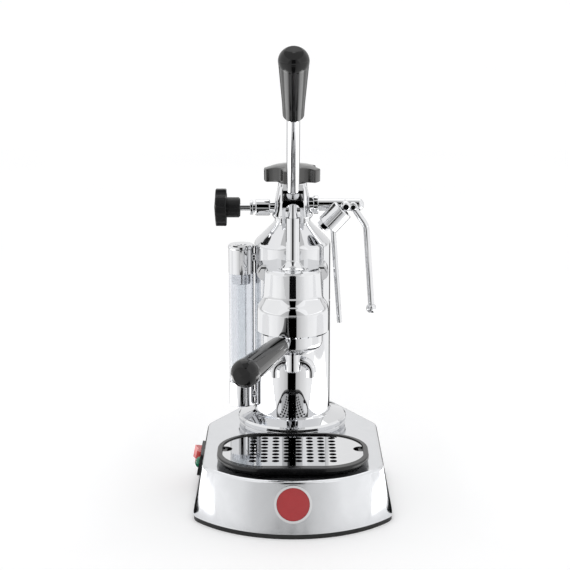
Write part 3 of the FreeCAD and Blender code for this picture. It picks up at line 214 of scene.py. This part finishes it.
DRESS = {
    "base_shell": satin,
    "base_trim": trim_grey,
    "base_plate": zinc,
    "base_feet": rubber,
    "badge": red_enamel,
    "badge_ring": chrome_dark,
    "switch_bezel": black_satin,
    "power_rocker": red_plastic,
    "pilot_lamp": green_lens,
    "power_inlet": black_satin,
    "drip_tray": tray_black,
    "drip_grille": chrome_flat,
    "boiler_collar": chrome,
    "boiler": chrome,
    "boiler_ring_nut": brass,
    "element_flange": brass,
    "heating_element": stainless,
    "thermostat": brass,
    "boiler_head": chrome,
    "safety_valve": chrome,
    "cap_gasket": rubber,
    "cap_plug": brass,
    "cap_knob": brown_gloss,
    "steam_valve_body": chrome,
    "packing_nut": chrome,
    "steam_spindle": chrome,
    "valve_disc": rubber,
    "steam_knob": black_satin,
    "steam_manifold": chrome,
    "manifold_nut": chrome,
    "swivel_spigots": chrome,
    "steam_wand": chrome,
    "steam_tip": chrome,
    "frother_body": chrome,
    "frother_nut": chrome,
    "frother_tube": chrome,
    "gauge_top": chrome,
    "gauge_bottom": chrome,
    "gauge_glass": glass,
    "gauge_shield": acrylic,
    "group_body": chrome,
    "group_saddle": chrome,
    "group_bolts": chrome,
    "cylinder_sleeve": stainless,
    "piston": brass,
    "piston_seals": rubber,
    "piston_rod": chrome,
    "cross_pin": stainless,
    "rod_packing": rubber,
    "shower_screen": stainless,
    "portafilter_seal": rubber,
    "portafilter_body": chrome,
    "portafilter_handle": black_gloss,
    "filter_basket": stainless,
    "spout": chrome,
    "lever_fork": chrome,
    "lever_rod": chrome,
    "lever_handle": black_gloss,
    "fulcrum_pin": stainless,
}

for name, obj in nodes.items():
    obj.data.materials.clear()
    obj.data.materials.append(DRESS[name])

# --------------------------------------------------------------------- studio


def card(name, corners, mat, camera=True, shadow=True, diffuse=True):
    mesh = bpy.data.meshes.new(name)
    mesh.from_pydata(corners, [], [tuple(range(len(corners)))])
    obj = bpy.data.objects.new(name, mesh)
    scene.collection.objects.link(obj)
    mesh.materials.append(mat)
    obj.visible_camera = camera
    obj.visible_transmission = camera
    obj.visible_shadow = shadow
    obj.visible_diffuse = diffuse
    return obj


def paper():
    f = Finish("floor_paper", IOR=1.3)
    f.put("Base Color", f.blend(f.spread(f.noise(3, 2), 0.3, 0.7, 0, 1), (0.93, 0.93, 0.935), (0.91, 0.91, 0.915)))
    f.put("Roughness", f.spread(f.noise(500, 3), 0.3, 0.7, 0.7, 0.8))
    f.put("Specular IOR Level", 0.1)
    f.put("Emission Color", (1.0, 1.0, 1.0))
    f.put("Emission Strength", 0.14)
    f.put("Normal", f.bump(f.noise(1200, 2), 0.000004))
    return f.mat


def dark_cloth():
    f = Finish("dark_cloth")
    f.put("Base Color", f.blend(f.noise(50, 3), (0.004, 0.004, 0.004), (0.008, 0.008, 0.009)))
    f.put("Roughness", f.spread(f.noise(400, 3), 0.3, 0.7, 0.85, 0.95))
    f.put("Specular IOR Level", 0.0)
    return f.mat


def glow(name, axis, centre, stops, grain=0.02, power=1.2):
    """A lit panel whose brightness runs along a ratio of its own coordinates, with a slight cloth weave."""
    f = Finish(name, Roughness=1.0, Base_Color=(0.0, 0.0, 0.0))
    f.put("Specular IOR Level", 0.0)
    split = f.new("SeparateXYZ")
    f.wire(f.place, split.inputs[0])
    if axis == "fan":
        across = f.sum(f.sum(split.outputs[0], centre[0], "SUBTRACT"), f.sum(centre[1], split.outputs[1], "SUBTRACT"), "DIVIDE")
    else:
        across = f.sum(split.outputs[0], centre[0], "SUBTRACT")
    low, high = stops[0][0], stops[-1][0]
    ramp = f.new("ValToRGB")
    f.wire(f.spread(across, low, high, 0.0, 1.0), ramp.inputs[0])
    band = ramp.color_ramp
    while len(band.elements) < len(stops):
        band.elements.new(0.5)
    for e, (at, value) in zip(band.elements, stops):
        e.position = (at - low) / (high - low)
    for e, (at, value) in zip(band.elements, stops):
        e.color = (value, value, value, 1.0)
    weave = f.spread(f.noise(90, 3), 0.3, 0.7, 1.0 - grain, 1.0)
    shade = f.new("Mix")
    shade.data_type = "RGBA"
    shade.blend_type = "MULTIPLY"
    shade.inputs[0].default_value = 1.0
    f.wire(ramp.outputs[0], shade.inputs[6])
    f.wire(weave, shade.inputs[7])
    f.put("Emission Color", shade.outputs[2])
    f.put("Emission Strength", power)
    return f.mat


cloth = dark_cloth()
card("floor", [(-40, -40, 0), (40, -40, 0), (40, 40, 0), (-40, 40, 0)], paper())
# panels that only the polished surfaces see: a fan on the floor with a dark middle, pale walls, a dark slit in front and lit pads beside the part
fan = [(-2.4, 1.0), (-1.1, 0.93), (-0.5, 0.7), (-0.255, 0.5), (-0.235, 0.0), (0.195, 0.0), (0.215, 0.5), (0.5, 0.7), (1.1, 0.93), (2.4, 1.0)]
card("fan_floor", [(-2.2, -1.7, 0.004), (2.2, -1.7, 0.004), (2.2, -0.156, 0.004), (-2.2, -0.156, 0.004)], glow("fan_glow", "fan", (-0.008, 0.02), fan), False, False, False)
back = [(-2.6, 1.0), (-0.66, 0.95), (-0.5, 0.06), (-0.06, 0.1), (0.06, 0.1), (0.5, 0.06), (0.66, 0.95), (2.6, 1.0)]
card("back_floor", [(-2.2, 0.25, 0.004), (2.2, 0.25, 0.004), (2.2, 2.5, 0.004), (-2.2, 2.5, 0.004)], glow("back_glow", "fan", (0.0, 0.0), back), False, False, False)
wall = [(-1.95, 0.78), (-1.3, 0.64), (-0.3, 0.56), (0.3, 0.58), (1.3, 0.78), (1.95, 0.92)]
card("low_wall", [(-1.95, -1.75, 0.0), (1.95, -1.75, 0.0), (1.95, -1.75, 0.36), (-1.95, -1.75, 0.36)], glow("wall_glow", "row", (0.0, 0.0), wall), False, False, False)
card("slit", [(-0.208, -0.9, 0.108), (0.188, -0.9, 0.108), (0.188, -0.9, 0.17), (-0.208, -0.9, 0.17)], cloth, False, False, False)
lip = [(-0.4, 0.62), (0.4, 0.62)]
card("pale_lip", [(-0.26, -1.08, 0.006), (0.24, -1.08, 0.006), (0.24, -0.93, 0.006), (-0.26, -0.93, 0.006)], glow("lip_glow", "row", (0.0, 0.0), lip), False, False, False)
high = [(-1.95, 0.62), (-0.9, 0.56), (-0.43, 0.44), (-0.39, 0.0), (0.33, 0.0), (0.37, 0.44), (0.9, 0.6), (1.95, 0.7)]
card("high_wall", [(-1.95, -1.76, 0.36), (1.95, -1.76, 0.36), (1.95, -1.76, 2.6), (-1.95, -1.76, 2.6)], glow("high_glow", "row", (0.0, 0.0), high), False, False, False)
for tag, x, bright in (("left", -1, 0.8), ("right", 1, 0.93)):
    lit = glow("side_glow_" + tag, "row", (0.0, 0.0), [(-2.5, bright), (2.5, bright)])
    card("side_wall_" + tag, [(1.96 * x, -1.75, 0.0), (1.96 * x, 0.6, 0.0), (1.96 * x, 0.6, 0.46), (1.96 * x, -1.75, 0.46)], lit, False, False, False)
    card("hem_" + tag, [(0.099 * x, -0.085, 0.004), (0.17 * x, -0.085, 0.004), (0.17 * x, 0.5, 0.004), (0.099 * x, 0.5, 0.004)], cloth, False, False, False)
    pad = glow("pad_glow_" + tag, "row", (0.33 * x, 0.0), [(-0.15, 0.26), (-0.07, 1.0), (0.07, 1.0), (0.15, 0.26)], power=4.0)
    card("pad_" + tag, [(0.18 * x, -0.14, 0.005), (0.48 * x, -0.14, 0.005), (0.48 * x, 0.24, 0.005), (0.18 * x, 0.24, 0.005)], pad, False, False, False)
far = [(-3.0, 0.75), (-0.6, 0.78), (0.0, 0.82), (0.6, 0.78), (3.0, 0.75)]
card("far_wall", [(-3.0, 2.6, 0.15), (3.0, 2.6, 0.15), (3.0, 2.6, 2.2), (-3.0, 2.6, 2.2)], glow("far_glow", "row", (0.0, 0.0), far), False, False, False)

world = bpy.data.worlds.new("studio")
scene.world = world
world.use_nodes = True
world.node_tree.nodes["Background"].inputs["Color"].default_value = (1.0, 1.0, 1.0, 1.0)
world.node_tree.nodes["Background"].inputs["Strength"].default_value = 0.68


def softbox(name, at, look, wide, tall, glow):
    light = bpy.data.lights.new(name, "AREA")
    light.shape = "RECTANGLE"
    light.size = wide
    light.size_y = tall
    light.energy = glow * math.pi * wide * tall
    obj = bpy.data.objects.new(name, light)
    scene.collection.objects.link(obj)
    obj.location = at
    obj.rotation_euler = (Vector(look) - Vector(at)).to_track_quat("-Z", "Y").to_euler()
    return obj


for side, x in (("side_left", -1.2), ("side_right", 1.2)):
    softbox(side, (x, -0.3, 1.1), (0, -0.05, 0.2), 3.2, 1.9, 0.42).visible_diffuse = False
softbox("top", (0, 0.95, 1.9), (0, 0, 0), 1.8, 1.8, 0.8).visible_diffuse = False
sky = bpy.data.lights.new("sky", "SUN")
sky.energy = 0.86
sky.angle = math.radians(120)
overhead = bpy.data.objects.new("sky", sky)
scene.collection.objects.link(overhead)
overhead.location = (0, 0, 3)
overhead.visible_glossy = False

camera = bpy.data.cameras.new("camera")
camera.sensor_width = 36.0
camera.lens = 101.05
eye = bpy.data.objects.new("camera", camera)
scene.collection.objects.link(eye)
eye.location = (-0.0075, -1.531, 0.553)
eye.rotation_euler = (math.radians(77.3), 0.0, 0.0)
scene.camera = eye
